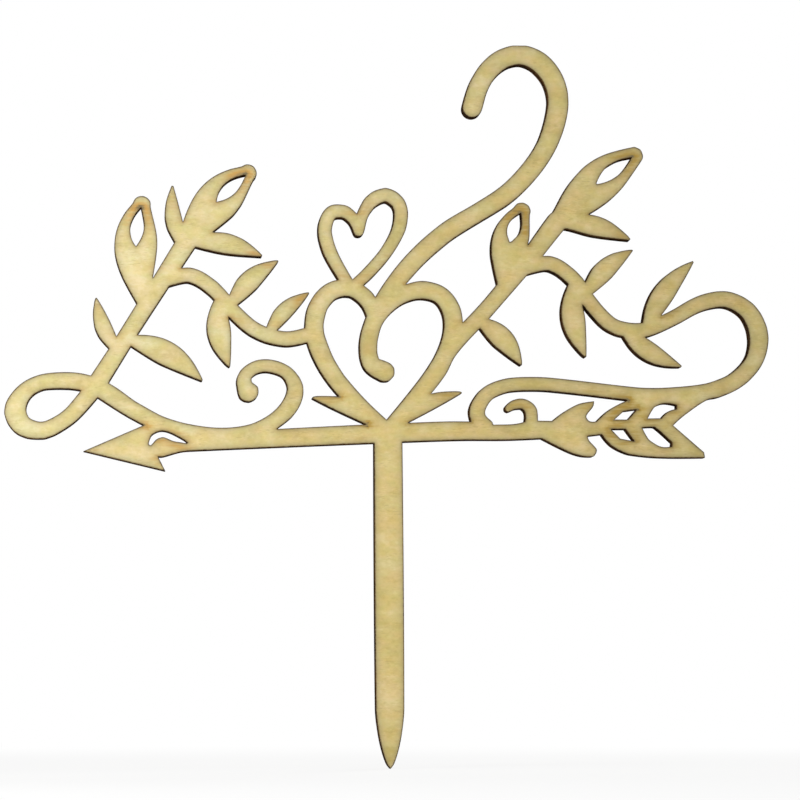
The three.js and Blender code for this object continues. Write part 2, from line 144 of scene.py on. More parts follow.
@dataclass
class CutLine:
    """The closed curves that the laser followed, with wood always on their left.

    Args:
        node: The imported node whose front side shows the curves.
    """

    node: bpy.types.Object
    front_slack: float = 0.01
    key_digits: int = 3
    tolerance: float = 0.1
    turn_per_bow: float = 4.0
    corner_margin: float = 1.3
    corner_slack: float = 0.06
    end_bend_share: float = 0.5
    least_pull: float = 0.35
    longest_step: float = 0.45
    turn_per_step: float = math.radians(9)
    probe_step: float = 0.08
    notch_turn: float = -0.6
    least_square: float = 0.5
    notches: list[tuple[float, ...]] = field(init=False, default_factory=list)
    curves: list[np.ndarray] = field(init=False)
    probes: np.ndarray = field(init=False)
    inward: np.ndarray = field(init=False)
    tree: kdtree.KDTree = field(init=False)

    def __post_init__(self) -> None:
        """Reads the node's rim, smooths it and prepares it for measuring."""
        rims = self._rims()
        low, high = (edge(np.vstack(rims), 0) for edge in (np.min, np.max))
        self.curves = [np.clip(self._smoothed(rim), low, high) for rim in rims]
        self._place_probes()

    def _rims(self) -> list[np.ndarray]:
        """Walks the open edges of the node's front side.

        Returns:
            One array of corner points, right and up, for each closed rim.
        """
        mesh = self.node.data
        places = places_of(mesh)
        front = places[:, 1].min() + self.front_slack
        keys = [(round(x, self.key_digits), round(z, self.key_digits)) for x, _, z in places]
        follows: dict[tuple[float, float], tuple[float, float]] = {}
        steps: set[tuple[Any, Any]] = set()
        for face in mesh.polygons:
            corners = list(face.vertices)
            if all(places[c, 1] < front for c in corners):
                ring = [keys[c] for c in corners]
                steps.update(zip(ring, ring[1:] + ring[:1]))
        for start, end in steps:
            if (end, start) not in steps:
                follows[start] = end
        rims = []
        while follows:
            at, rim = min(follows), []
            while at in follows:
                rim.append(at)
                at = follows.pop(at)
            rims.append(np.array(rim))
        return sorted(rims, key=len, reverse=True)

    def _smoothed(self, rim: np.ndarray) -> np.ndarray:
        """Turns a rim's straight chords back into the curve that they stand for.

        Every corner point lies on the true curve, and the curve leaves a chord by no more
        than the tolerance. So it leaves a long chord at a small angle and a short one at a
        larger angle, and a turn too sharp for that is a real corner.

        Args:
            rim: The corner points of one closed rim.

        Returns:
            Closely spaced points along the smooth curve.
        """
        before = rim - np.roll(rim, 1, axis=0)
        after = np.roll(rim, -1, axis=0) - rim
        size_before, size_after = np.hypot(*before.T), np.hypot(*after.T)
        cross = before[:, 0] * after[:, 1] - before[:, 1] * after[:, 0]
        turn = np.arctan2(cross, (before * after).sum(1))
        room = self.turn_per_bow * self.tolerance * self.corner_margin
        sharp = np.abs(turn) > room * (1 / size_before + 1 / size_after) + self.corner_slack
        for i in np.flatnonzero(sharp & (turn < self.notch_turn)):
            tip = before[i] / size_before[i] - after[i] / size_after[i]
            sharpness = (self.notch_turn - turn[i]) / (math.pi + self.notch_turn)
            self.notches.append((*rim[i], sharpness, tip[0] / math.hypot(*tip)))
        heading = np.arctan2(before[:, 1], before[:, 0])
        heading += turn * size_after / (size_before + size_after)
        points = []
        for i, length in enumerate(size_after):
            j = (i + 1) % len(rim)
            chord = math.atan2(after[i, 1], after[i, 0])
            leave, arrive = (
                math.remainder(heading[k] - chord, math.tau) for k in (i, j)
            )
            if sharp[i]:
                leave = 0 if sharp[j] else -arrive * self.end_bend_share
            if sharp[j]:
                arrive = 0 if sharp[i] else -leave * self.end_bend_share
            bend = abs(leave) + abs(arrive)
            count = max(
                1, math.ceil(length / self.longest_step), math.ceil(bend / self.turn_per_step)
            )
            t = (np.arange(count) / count)[:, None]
            pull = length / max(self.least_pull, math.cos(leave / 2) * math.cos(arrive / 2))
            start_pull, end_pull = (
                pull * np.array([math.cos(chord + a), math.sin(chord + a)])
                for a in (leave, arrive)
            )
            points.append(
                (2 * t**3 - 3 * t**2 + 1) * rim[i]
                + (t**3 - 2 * t**2 + t) * start_pull
                + (3 * t**2 - 2 * t**3) * rim[j]
                + (t**3 - t**2) * end_pull
            )
        return np.vstack(points)

    def _place_probes(self) -> None:
        """Sets close points on the curves, from which distances are measured."""
        places, normals = [], []
        for curve in self.curves:
            step = np.roll(curve, -1, axis=0) - curve
            size = np.hypot(*step.T)
            for start, along, length in zip(curve, step, size):
                count = max(1, math.ceil(length / self.probe_step))
                t = ((np.arange(count) + 0.5) / count)[:, None]
                places.append(start + along * t)
                normals.append(np.tile([-along[1] / length, along[0] / length], (count, 1)))
        self.probes, self.inward = np.vstack(places), np.vstack(normals)
        self.tree = kdtree.KDTree(len(self.probes))
        for i, (x, z) in enumerate(self.probes):
            self.tree.insert((x, z, 0), i)
        self.tree.balance()

    def distances(self, points: np.ndarray) -> np.ndarray:
        """Measures how far points are from the cut.

        Args:
            points: Places as right and up.

        Returns:
            The distances, positive in the wood and negative outside it.
        """
        found = np.empty(len(points))
        for i, (x, z) in enumerate(points):
            _, nearest, distance = self.tree.find((x, z, 0))
            side = (points[i] - self.probes[nearest]) @ self.inward[nearest]
            found[i] = distance if side >= 0 else -distance
        return found

    def offset(self, curve: np.ndarray, depth: float) -> np.ndarray:
        """Moves a curve's points into the wood, square to the curve.

        Args:
            curve: The points of one curve.
            depth: How far they move.

        Returns:
            The moved points, in the same order.
        """
        before = curve - np.roll(curve, 1, axis=0)
        after = np.roll(curve, -1, axis=0) - curve
        before /= np.hypot(*before.T)[:, None]
        after /= np.hypot(*after.T)[:, None]
        middle = before + after
        middle /= np.maximum(np.hypot(*middle.T), TINY)[:, None]
        normal = np.column_stack([-middle[:, 1], middle[:, 0]])
        square = np.maximum((middle * after).sum(1), self.least_square)[:, None]
        return curve + normal * depth / square


@dataclass
class HeatMap:
    """How far the face is scorched, which is most in notches and where cuts crowd together.

    The heat runs along the grain, so every mark is drawn out along X, and a notch whose tip
    points right takes the most of it.
    """

    line: CutLine
    cell: float = 0.2
    margin: float = 8.0
    reach: float = 1.3
    plain_cut: float = 1.15
    crowding: float = 0.7
    smear_along: float = 1.2
    smear_across: float = 0.3
    halo: tuple[float, float] = (1.5, 0.52)
    spot: tuple[float, float] = (0.36, 0.25)
    halo_share: float = 0.5
    leftward: float = 0.5
    blur_reach: float = 3.0
    seed: int = 7
    luck: Span = (0.6, 2.0)
    corner: np.ndarray = field(init=False)
    grid: np.ndarray = field(init=False)

    def __post_init__(self) -> None:
        """Adds up the cut's length near each cell and keeps what exceeds a plain edge."""
        probes = self.line.probes
        self.corner = probes.min(0) - self.margin
        size = np.ceil((probes.max(0) + self.margin - self.corner) / self.cell).astype(int)
        cells = ((probes - self.corner) / self.cell).astype(int)
        grid = np.zeros(size)
        np.add.at(grid, (cells[:, 0], cells[:, 1]), self.line.probe_step / self.cell)
        grid = self._blurred(grid, self.reach, self.reach)
        straight = self.cell / (self.reach * math.sqrt(math.tau))
        excess = np.maximum(grid / straight - self.plain_cut, 0)
        self.grid = self.crowding * self._blurred(excess, self.smear_along, self.smear_across)
        self._add_notches()

    def _add_notches(self) -> None:
        """Adds a scorched spot and its halo, of its own strength, at every notch."""
        x, z = (
            self.corner[axis] + (np.arange(self.grid.shape[axis]) + 0.5) * self.cell
            for axis in (0, 1)
        )
        luck = np.random.default_rng(self.seed).uniform(*self.luck, len(self.line.notches))
        for (at_x, at_z, sharpness, rightward), lucky in zip(self.line.notches, luck):
            strength = sharpness * lucky * max(self.leftward, (1 + rightward) / 2)
            for (wide, high), share in ((self.halo, self.halo_share), (self.spot, 1.0)):
                along = np.exp(-0.5 * ((x - at_x) / wide) ** 2)
                across = np.exp(-0.5 * ((z - at_z) / high) ** 2)
                self.grid += strength * share * np.outer(along, across)

    def _blurred(self, grid: np.ndarray, along: float, across: float) -> np.ndarray:
        """Blurs a grid by different lengths along X and Z.

        Args:
            grid: The values to blur.
            along: Spread along X.
            across: Spread along Z.

        Returns:
            The blurred grid.
        """
        for axis, spread in enumerate((along, across)):
            half = math.ceil(self.blur_reach * spread / self.cell)
            offsets = np.arange(-half, half + 1) * self.cell
            kernel = np.exp(-0.5 * (offsets / spread) ** 2)
            kernel /= kernel.sum()
            grid = np.apply_along_axis(np.convolve, axis, grid, kernel, mode="same")
        return grid

    def at(self, points: np.ndarray) -> np.ndarray:
        """Looks the heat up.

        Args:
            points: Places as right and up.

        Returns:
            The heat at each place, from 0 upwards.
        """
        spot = (points - self.corner) / self.cell - 0.5
        low = np.floor(spot).astype(int)
        u, v = (spot - low).T
        i, j = low.T
        g = self.grid
        return (
            g[i, j] * (1 - u) * (1 - v)
            + g[i + 1, j] * u * (1 - v)
            + g[i, j + 1] * (1 - u) * v
            + g[i + 1, j + 1] * u * v
        )


# ---------------------------------------------------------------- filled sheets


@dataclass
class Sheet:
    """A flat fill of the cut line: places as right and up, and triangles among them."""

    places: np.ndarray
    triangles: np.ndarray
    rim_count: int


@dataclass
class SheetFiller:
    """Fills the cut line with triangles, finely or plainly."""

    line: CutLine
    arris_depths: tuple[float, ...] = (0.018, 0.05)
    ring_depths: tuple[float, ...] = (0.12, 0.26, 0.48, 0.85)
    kept_share: float = 0.93
    grid_step: float = 0.8
    row_rise: float = math.sqrt(0.75)
    grid_gap: float = 0.45
    inside_only: int = 1
    merge: float = 1e-7

    def plain(self, inset: float = 0.0) -> Sheet:
        """Fills the cut line with as few triangles as its rim allows.

        Args:
            inset: How far the rim is drawn back into the wood.

        Returns:
            The filled sheet.
        """
        curves = self.line.curves
        if inset:
            curves = [self.line.offset(curve, inset) for curve in curves]
        return self._filled(curves, np.empty((0, 2)))

    def fine(self) -> Sheet:
        """Fills the cut line with rings beside the cut and an even grid between them."""
        inner = []
        for depth in self.arris_depths + self.ring_depths:
            for curve in self.line.curves:
                moved = self.line.offset(curve, depth)
                inner.append(moved[self.line.distances(moved) > self.kept_share * depth])
        low, high = self.line.probes.min(0), self.line.probes.max(0)
        step, rise = self.grid_step, self.grid_step * self.row_rise
        rows = []
        for k, z in enumerate(np.arange(low[1], high[1], rise)):
            x = np.arange(low[0] + (k % 2) * step / 2, high[0], step)
            rows.append(np.column_stack([x, np.full(len(x), z)]))
        grid = np.vstack(rows)
        deepest = self.ring_depths[-1] + self.grid_gap * step
        inner.append(grid[self.line.distances(grid) > deepest])
        return self._filled(self.line.curves, np.vstack(inner))

    def _filled(self, curves: list[np.ndarray], inner: np.ndarray) -> Sheet:
        """Triangulates the wood between the curves.

        Args:
            curves: The closed curves of the rim.
            inner: Further places, all of them in the wood.

        Returns:
            The filled sheet, with the rim's places first.
        """
        rim = np.vstack(curves)
        edges, first = [], 0
        for curve in curves:
            count = len(curve)
            edges += [(first + k, first + (k + 1) % count) for k in range(count)]
            first += count
        flat = np.vstack([rim, inner])
        made, _, faces, origins, _, _ = delaunay_2d_cdt(
            [Vector(p) for p in flat], edges, [], self.inside_only, self.merge, True
        )
        source = np.array([ids[0] if ids else -1 for ids in origins])
        if (source < 0).any() or len(made) != len(flat):
            raise RuntimeError("the cut line crosses itself, so it can't be filled")
        triangles = source[np.array([list(f) for f in faces if len(f) == 3])]
        on_rim = (triangles < len(rim)).all(1)
        centres = flat[triangles[on_rim]].mean(1)
        keep = np.ones(len(triangles), bool)
        keep[on_rim] = self._inside(centres, curves)
        return Sheet(flat, self._facing_front(flat, triangles[keep]), len(rim))

    @staticmethod
    def _inside(points: np.ndarray, curves: list[np.ndarray]) -> np.ndarray:
        """Tells which points lie in the wood, by counting the cuts to their right."""
        starts = np.vstack(curves)
        ends = np.vstack([np.roll(curve, -1, axis=0) for curve in curves])
        x0, z0 = starts.T
        x1, z1 = ends.T
        rise = np.where(z1 == z0, TINY, z1 - z0)
        inside = np.zeros(len(points), bool)
        for i, (x, z) in enumerate(points):
            spans = (z0 > z) != (z1 > z)
            crossing = x0 + (z - z0) / rise * (x1 - x0)
            inside[i] = np.count_nonzero(spans & (crossing > x)) % 2 == 1
        return inside

    @staticmethod
    def _facing_front(places: np.ndarray, triangles: np.ndarray) -> np.ndarray:
        """Turns every triangle so that it looks at the viewer."""
        a, b, c = (places[triangles[:, k]] for k in range(3))
        (right_b, up_b), (right_c, up_c) = (b - a).T, (c - a).T
        wrong = right_b * up_c - up_b * right_c < 0
        turned = triangles.copy()
        turned[wrong] = turned[wrong][:, ::-1]
        return turned


# ---------------------------------------------------------------- finishes


@dataclass(frozen=True)
class Noise:
    """Soft noise through the wood.

    Args:
        by: Repeats for each millimetre along X, Y and Z.
        detail: How many finer layers are added.
        rough: How strong they are.
        levels: The two values that are stretched to 0 and 1, if any are.
    """

    by: Triple
    detail: float = 2
    rough: float = 0.5
    levels: Span | None = None


@dataclass(frozen=True)
class Dash:
    """A kind of short dash in the grain.

    Args:
        color: Its colour.
        levels: The noise at which it starts and at which it is full.
        most: How much of the wood it covers there.
    """

    color: Color
    levels: Span
    most: float


class TreeBench:
    """The node tree of a material or a world, with short ways to add nodes."""

    def __init__(self, owner: bpy.types.Material | bpy.types.World) -> None:
        """Empties a tree and takes it over.

        Args:
            owner: The material or world that the tree belongs to.
        """
        owner.use_nodes = True
        self.tree = owner.node_tree
        self.tree.nodes.clear()

    def add(
        self, kind: str, inputs: dict[Any, Any] | None = None, **settings: Any
    ) -> bpy.types.Node:
        """Adds a node.

        Args:
            kind: The node's type.
            inputs: Values or output sockets for its inputs, by name or number.
            **settings: Properties of the node itself.

        Returns:
            The new node.
        """
        node = self.tree.nodes.new(kind)
        for key, value in settings.items():
            setattr(node, key, value)
        for key, value in (inputs or {}).items():
            socket = node.inputs[key]
            if isinstance(value, bpy.types.NodeSocket):
                self.tree.links.new(value, socket)
            else:
                socket.default_value = value
        return node

    def math(self, operation: str, *values: Any, clamp: bool = False) -> bpy.types.NodeSocket:
        """Adds a Math node over numbers or sockets and returns its result."""
        inputs = dict(enumerate(values))
        node = self.add("ShaderNodeMath", inputs, operation=operation, use_clamp=clamp)
        return node.outputs[0]

    def between(
        self, value: Any, low: float, high: float, least: float = 0.0, most: float = 1.0
    ) -> bpy.types.NodeSocket:
        """Turns a value's rise from low to high into a smooth one from least to most."""
        inputs = {"Value": value, "From Min": low, "From Max": high}
        inputs |= {"To Min": least, "To Max": most}
        node = self.add("ShaderNodeMapRange", inputs, interpolation_type="SMOOTHSTEP")
        return node.outputs[0]

    def blended(self, share: Any, first: Any, second: Any) -> bpy.types.NodeSocket:
        """Blends two shaders and returns the result."""
        return self.add("ShaderNodeMixShader", {0: share, 1: first, 2: second}).outputs[0]


class MaterialBench(TreeBench):
    """A new material's node tree, with the steps that the finishes share."""

    mix_inputs = (0, 6, 7)
    mix_result = 2

    def __init__(self, name: str) -> None:
        """Makes a material with an empty tree.

        Args:
            name: The material's name.
        """
        self.material = bpy.data.materials.new(name)
        super().__init__(self.material)

    def scaled(self, vector: Any, by: Triple) -> bpy.types.NodeSocket:
        """Multiplies a vector part by part and returns the result."""
        node = self.add("ShaderNodeVectorMath", {0: vector, 1: by}, operation="MULTIPLY")
        return node.outputs[0]

    def noise(self, vector: Any, kind: Noise) -> bpy.types.NodeSocket:
        """Adds noise that repeats about once in each unit of a scaled vector.

        Args:
            vector: The coordinates, in millimetres.
            kind: Its repeats, layers and levels.

        Returns:
            The noise, about 0 to 1.
        """
        inputs = {
            "Vector": self.scaled(vector, kind.by),
            "Scale": 1,
            "Detail": kind.detail,
            "Roughness": kind.rough,
        }
        value = self.add("ShaderNodeTexNoise", inputs).outputs["Fac"]
        return self.between(value, *kind.levels) if kind.levels else value

    def mixed(
        self, share: Any, first: Any, second: Any, blend: str = "MIX"
    ) -> bpy.types.NodeSocket:
        """Blends two colours, given as values or sockets, and returns the result."""
        pair = (v if isinstance(v, bpy.types.NodeSocket) else (*v, 1.0) for v in (first, second))
        inputs = dict(zip(self.mix_inputs, (share, *pair)))
        node = self.add("ShaderNodeMix", inputs, data_type="RGBA", blend_type=blend)
        return node.outputs[self.mix_result]

    def tinted(self, color: Any, tint: Any) -> bpy.types.NodeSocket:
        """Multiplies a colour by a tint and returns the result."""
        return self.mixed(1.0, color, tint, "MULTIPLY")

    def attribute(self, mark: CutMark) -> bpy.types.NodeSocket:
        """Reads a number that the mesh carries at its vertices."""
        return self.add("ShaderNodeAttribute", attribute_name=mark.value).outputs["Fac"]

    def millimetres(self) -> bpy.types.NodeSocket:
        """Returns the object coordinates in millimetres."""
        source = self.add("ShaderNodeTexCoord").outputs["Object"]
        return self.scaled(source, (1 / MM, 1 / MM, 1 / MM))

    def finish(
        self, color: Any, rough: Any, height: Any, relief: float, shine: float
    ) -> bpy.types.Material:
        """Ends the tree in a surface.

        Args:
            color: Colour or colour socket.
            rough: Roughness or its socket.
            height: Socket of the relief's height, 0 to 1.
            relief: The relief's depth in millimetres.
            shine: Specular level.

        Returns:
            The finished material.
        """
        raised = {"Strength": 1.0, "Distance": relief * MM, "Height": height}
        inputs = {
            "Base Color": color,
            "Roughness": rough,
            "Normal": self.add("ShaderNodeBump", raised).outputs[0],
            "Specular IOR Level": shine,
        }
        surface = self.add("ShaderNodeBsdfPrincipled", inputs)
        self.add("ShaderNodeOutputMaterial", {"Surface": surface.outputs[0]})
        return self.material


@dataclass(frozen=True)
class CharFinish:
    """What the laser leaves on a cut wall: streaks of soot, browner beside the faces."""

    deep: Color = linear(17, 12, 8)
    brown: Color = linear(62, 43, 26)
    brown_levels: Span = (0.36, 0.64)
    rim: Color = linear(118, 79, 39)
    rim_levels: Span = (0.85, 1.5)
    streaks: Noise = Noise((5.0, 0.25, 5.0), 3, 0.6)
    patches: Noise = Noise((0.35, 0.5, 0.35))
    mark_shares: Span = (0.6, 0.4)
    singed: Noise = Noise((0.12, 0.12, 0.12), levels=(0.42, 0.62))
    roughness: float = 0.92
    relief: float = 0.03
    shine: float = 0.0

    def streak(self, bench: MaterialBench, place: Any) -> bpy.types.NodeSocket:
        """Adds the marks that run through the thickness, with broader patches among them."""
        marks = [bench.noise(place, kind) for kind in (self.streaks, self.patches)]
        parts = [bench.math("MULTIPLY", *pair) for pair in zip(marks, self.mark_shares)]
        return bench.math("ADD", *parts)

    def color(self, bench: MaterialBench, streak: Any) -> bpy.types.NodeSocket:
        """Turns the marks into the wall's colour."""
        return bench.mixed(bench.between(streak, *self.brown_levels), self.deep, self.brown)

    def make(self, name: str) -> bpy.types.Material:
        """Makes a material that is char all over."""
        bench = MaterialBench(name)
        place = bench.millimetres()
        streak = self.streak(bench, place)
        level = bench.math("ABSOLUTE", bench.add("ShaderNodeSeparateXYZ", {0: place}).outputs[1])
        patchy = bench.noise(place, self.singed)
        share = bench.math("MULTIPLY", bench.between(level, *self.rim_levels), patchy)
        color = bench.mixed(share, self.color(bench, streak), self.rim)
        return bench.finish(color, self.roughness, streak, self.relief, self.shine)


@dataclass(frozen=True)
class FaceFinish:
    """Bare pale veneer with fine level grain, toasted where the cut passes, with a painted light
    falloff that makes the left end lighter and the right end darker.
    """

    pale: Color = linear(223, 204, 150)
    pale_levels: Span = (0.49, 0.63)
    middle: Color = linear(213, 193, 134)
    middle_levels: Span = (0.37, 0.51)
    dull: Color = linear(200, 179, 118)
    drift: Noise = Noise((0.018, 0.05, 0.06))
    drift_middle: float = 0.5
    wander: float = 3.0
    fibres: Noise = Noise((1.2, 1.0, 2.1), 4, 0.6)
    bands: Noise = Noise((0.06, 0.3, 0.4), 3)
    clouds: Noise = Noise((0.26, 0.4, 0.36), 4, 0.6)
    tone_shares: Triple = (0.27, 0.25, 0.48)
    hues: Noise = Noise((0.17, 0.3, 0.33), 4, 0.6, (0.34, 0.66))
    cool: Color = (0.968, 1.016, 1.0)
    warm: Color = (1.032, 0.984, 1.0)
    depths: Noise = Noise((0.3, 0.4, 0.4), 4, 0.6, (0.34, 0.66))
    honey: Color = (0.99, 0.985, 0.88)
    bleached: Color = (1.01, 1.015, 1.1)
    # Painted light falloff: the left end is tinted lighter and paler, the right end darker and
    # richer, on top of the lamps' own falloff.
    painted_lit_end: Color = (1.0, 1.06, 1.13)
    painted_shaded_end: Color = (0.985, 0.975, 0.9)
    ends: Span = (-62.0, 15.0)
    ends_height: float = 70.0
    ends_slant: float = -0.7
    dashes: Noise = Noise((0.85, 1.1, 6.0), 1)
    dashed_places: Noise = Noise((0.16, 0.3, 0.3), 1, levels=(0.42, 0.62))
    fleck: Dash = Dash(linear(158, 130, 82), (0.6, 0.74), 0.34)
    glint: Dash = Dash(linear(236, 220, 172), (0.38, 0.28), 0.3)
    scorch_streaks: Noise = Noise((0.25, 0.8, 2.1), 3, levels=(0.32, 0.66))
    scorch_least: float = 0.65
    scorch_spread: float = 0.7
    # The scorch colour runs from amber at the left to darker olive at the right: real scorch,
    # whose darkening to the right is painted light falloff.
    amber: Color = linear(206, 158, 80)
    olive: Color = linear(182, 146, 56)
    amber_levels: Span = (0.03, 0.75)
    burn: Color = linear(84, 60, 24)
    burn_levels: Span = (0.75, 1.45)
    ragged: Noise = Noise((1.6, 1.6, 2.6))
    ragged_depth: float = 0.16
    haze: Color = linear(150, 141, 108)
    haze_reach: float = 0.55
    haze_most: float = 0.85
    toast: Color = linear(122, 98, 58)
    toast_levels: Span = (-0.05, 0.34)
    toast_most: float = 0.65
    char: CharFinish = CharFinish(deep=linear(30, 20, 11), brown=linear(66, 46, 24))
    char_levels: Span = (-0.03, 0.12)
    roughness: float = 0.75
    relief: float = 0.012
    shine: float = 0.16

    def _grain(self, bench: MaterialBench, place: Any) -> tuple[Any, Any]:
        """Adds the grain's colour, with a painted light falloff across the sheet.

        Args:
            bench: The tree to add to.
            place: Coordinates in millimetres.

        Returns:
            The colour socket and the fibres' height socket.
        """
        drift = bench.math("SUBTRACT", bench.noise(place, self.drift), self.drift_middle)
        lift = bench.add("ShaderNodeCombineXYZ", {2: bench.math("MULTIPLY", drift, self.wander)})
        shift = {0: place, 1: lift.outputs[0]}
        bent = bench.add("ShaderNodeVectorMath", shift, operation="ADD").outputs[0]
        fibre = bench.noise(bent, self.fibres)
        band = bench.noise(bent, self.bands)
        cloud = bench.noise(place, self.clouds)
        of_fibre, of_band, of_cloud = self.tone_shares
        tone = bench.math("MULTIPLY_ADD", fibre, of_fibre, bench.math("MULTIPLY", band, of_band))
        tone = bench.math("MULTIPLY_ADD", cloud, of_cloud, tone)
        wood = bench.mixed(bench.between(tone, *self.middle_levels), self.dull, self.middle)
        wood = bench.mixed(bench.between(tone, *self.pale_levels), wood, self.pale)
        hues, depths = (self.hues, self.cool, self.warm), (self.depths, self.honey, self.bleached)
        for patches, first, second in (hues, depths):
            wood = bench.tinted(wood, bench.mixed(bench.noise(place, patches), first, second))
        # Painted light falloff: lighter at the left end, darker at the right.
        end = bench.mixed(self._painted_falloff(bench, place), self.painted_lit_end, self.painted_shaded_end)
        wood = bench.tinted(wood, end)
        dashes = bench.noise(bent, self.dashes)
        sparse = bench.noise(place, self.dashed_places)
        for dash in (self.fleck, self.glint):
            share = bench.math("MULTIPLY", bench.between(dashes, *dash.levels), sparse)
            wood = bench.mixed(bench.math("MULTIPLY", share, dash.most), wood, dash.color)
        return wood, fibre

    def _painted_falloff(self, bench: MaterialBench, place: Any) -> bpy.types.NodeSocket:
        """Rises from the sheet's left end to its right end, slanting with height, and so steers
        the painted light falloff: lighter at the left, darker at the right.
        """
        right, _, up = bench.add("ShaderNodeSeparateXYZ", {0: place}).outputs
        height = bench.math("SUBTRACT", up, self.ends_height)
        along = bench.math("MULTIPLY_ADD", height, self.ends_slant, right)
        return bench.between(along, *self.ends)

    def _scorched(self, bench: MaterialBench, place: Any, wood: Any) -> Any:
        """Tints the wood where the cut's heat spread along the grain.

        Args:
            bench: The tree to add to.
            place: Coordinates in millimetres.
            wood: The bare wood's colour.

        Returns:
            The tinted colour.
        """
        streaky = bench.noise(place, self.scorch_streaks)
        gain = bench.math("MULTIPLY_ADD", streaky, self.scorch_spread, self.scorch_least)
        heat = bench.math("MULTIPLY", bench.attribute(CutMark.HEAT), gain)
        # Real scorch tint, darkened towards the right by the painted light falloff.
        singed = bench.mixed(self._painted_falloff(bench, place), self.amber, self.olive)
        wood = bench.mixed(bench.between(heat, *self.amber_levels), wood, singed)
        return bench.mixed(bench.between(heat, *self.burn_levels), wood, self.burn)

    def make(self, name: str) -> bpy.types.Material:
        """Makes the veneer's material."""
        bench = MaterialBench(name)
        place = bench.millimetres()
        wood, fibre = self._grain(bench, place)
        wood = self._scorched(bench, place, wood)
        ragged = bench.math("MULTIPLY", bench.noise(place, self.ragged), self.ragged_depth)
        depth = bench.math("SUBTRACT", bench.attribute(CutMark.DISTANCE), ragged)
        fading = bench.math("EXPONENT", bench.math("DIVIDE", depth, -self.haze_reach))
        hazy = bench.math("MULTIPLY", fading, self.haze_most, clamp=True)
        wood = bench.mixed(hazy, wood, self.haze)
        toasted = bench.math("SUBTRACT", 1.0, bench.between(depth, *self.toast_levels))
        wood = bench.mixed(bench.math("MULTIPLY", toasted, self.toast_most), wood, self.toast)
        streak = self.char.streak(bench, place)
        burnt = bench.math("SUBTRACT", 1.0, bench.between(depth, *self.char_levels))
        color = bench.mixed(burnt, wood, self.char.color(bench, streak))
        height = bench.mixed(burnt, fibre, streak)
        rougher = self.char.roughness - self.roughness
        rough = bench.math("MULTIPLY_ADD", burnt, rougher, self.roughness)
        return bench.finish(color, rough, height, self.relief, self.shine)


# ---------------------------------------------------------------- modelling by operator


class Workbench:
    """The operator steps that the plies share, each on one object at a time."""

    touching = 1e-6
    shade_angle = math.radians(34)

    @staticmethod
    def take(thing: bpy.types.Object) -> None:
        """Makes an object the only selected one, and active."""
        bpy.ops.object.select_all(action="DESELECT")
        thing.select_set(True)
        bpy.context.view_layer.objects.active = thing

    @staticmethod
    def lay(name: str, sheet: Sheet, depths: np.ndarray) -> bpy.types.Object:
        """Lays a sheet out as an object, upright and facing the viewer.

        Args:
            name: The object's name.
            sheet: The filled cut line.
            depths: The place of each point along Y, in millimetres.

        Returns:
            The new object.
        """
        corners = np.column_stack([sheet.places[:, 0], depths, sheet.places[:, 1]]) * MM
        mesh = bpy.data.meshes.new(name)
        mesh.from_pydata(corners.tolist(), [], sheet.triangles.tolist())
        mesh.update()
        thing = bpy.data.objects.new(name, mesh)
        bpy.context.scene.collection.objects.link(thing)
        return thing

    @classmethod
    def thicken(cls, thing: bpy.types.Object, run: float) -> None:
        """Extrudes a flat sheet along Y into a closed solid.

        Args:
            thing: The flat sheet.
            run: How far it is drawn out, in millimetres.
        """
        cls.take(thing)
        bpy.ops.object.mode_set(mode="EDIT")
        bpy.ops.mesh.select_all(action="SELECT")
        bpy.ops.mesh.extrude_region_move(TRANSFORM_OT_translate={"value": (0, run * MM, 0)})
        bpy.ops.mesh.select_all(action="SELECT")
        bpy.ops.mesh.normals_make_consistent(inside=False)
        bpy.ops.object.mode_set(mode="OBJECT")

    @classmethod
    def at_level(cls, mesh: bpy.types.Mesh, level: float) -> list[bool]:
        """Tells which vertices of a mesh lie at a place along Y, in millimetres."""
        return [abs(v.co.y - level * MM) < cls.touching for v in mesh.vertices]

    @classmethod
    def swap_cap(cls, thing: bpy.types.Object, cap: bpy.types.Object, level: float) -> None:
        """Takes a solid's flat side off and sews a finer cap on in its place.

        Args:
            thing: The solid.
            cap: The finer cap, whose rim meets the solid's.
            level: The flat side's place along Y, in millimetres.
        """
        cls.take(thing)
        bpy.ops.object.mode_set(mode="EDIT")
        bpy.ops.mesh.select_all(action="DESELECT")
        bpy.ops.object.mode_set(mode="OBJECT")
        mesh = thing.data
        near = cls.at_level(mesh, level)
        flags = [all(near[v] for v in face.vertices) for face in mesh.polygons]
        mesh.polygons.foreach_set("select", flags)
        bpy.ops.object.mode_set(mode="EDIT")
        bpy.ops.mesh.delete(type="ONLY_FACE")
        bpy.ops.object.mode_set(mode="OBJECT")
        cap.select_set(True)
        bpy.ops.object.join()
        bpy.ops.object.mode_set(mode="EDIT")
        bpy.ops.mesh.select_all(action="SELECT")
        bpy.ops.mesh.remove_doubles(threshold=cls.touching)
        bpy.ops.mesh.normals_make_consistent(inside=False)
        bpy.ops.object.mode_set(mode="OBJECT")

    @classmethod
    def smooth(cls, thing: bpy.types.Object) -> None:
        """Shades an object smooth, save at its sharp edges."""
        cls.take(thing)
        bpy.ops.object.shade_smooth_by_angle(angle=cls.shade_angle)


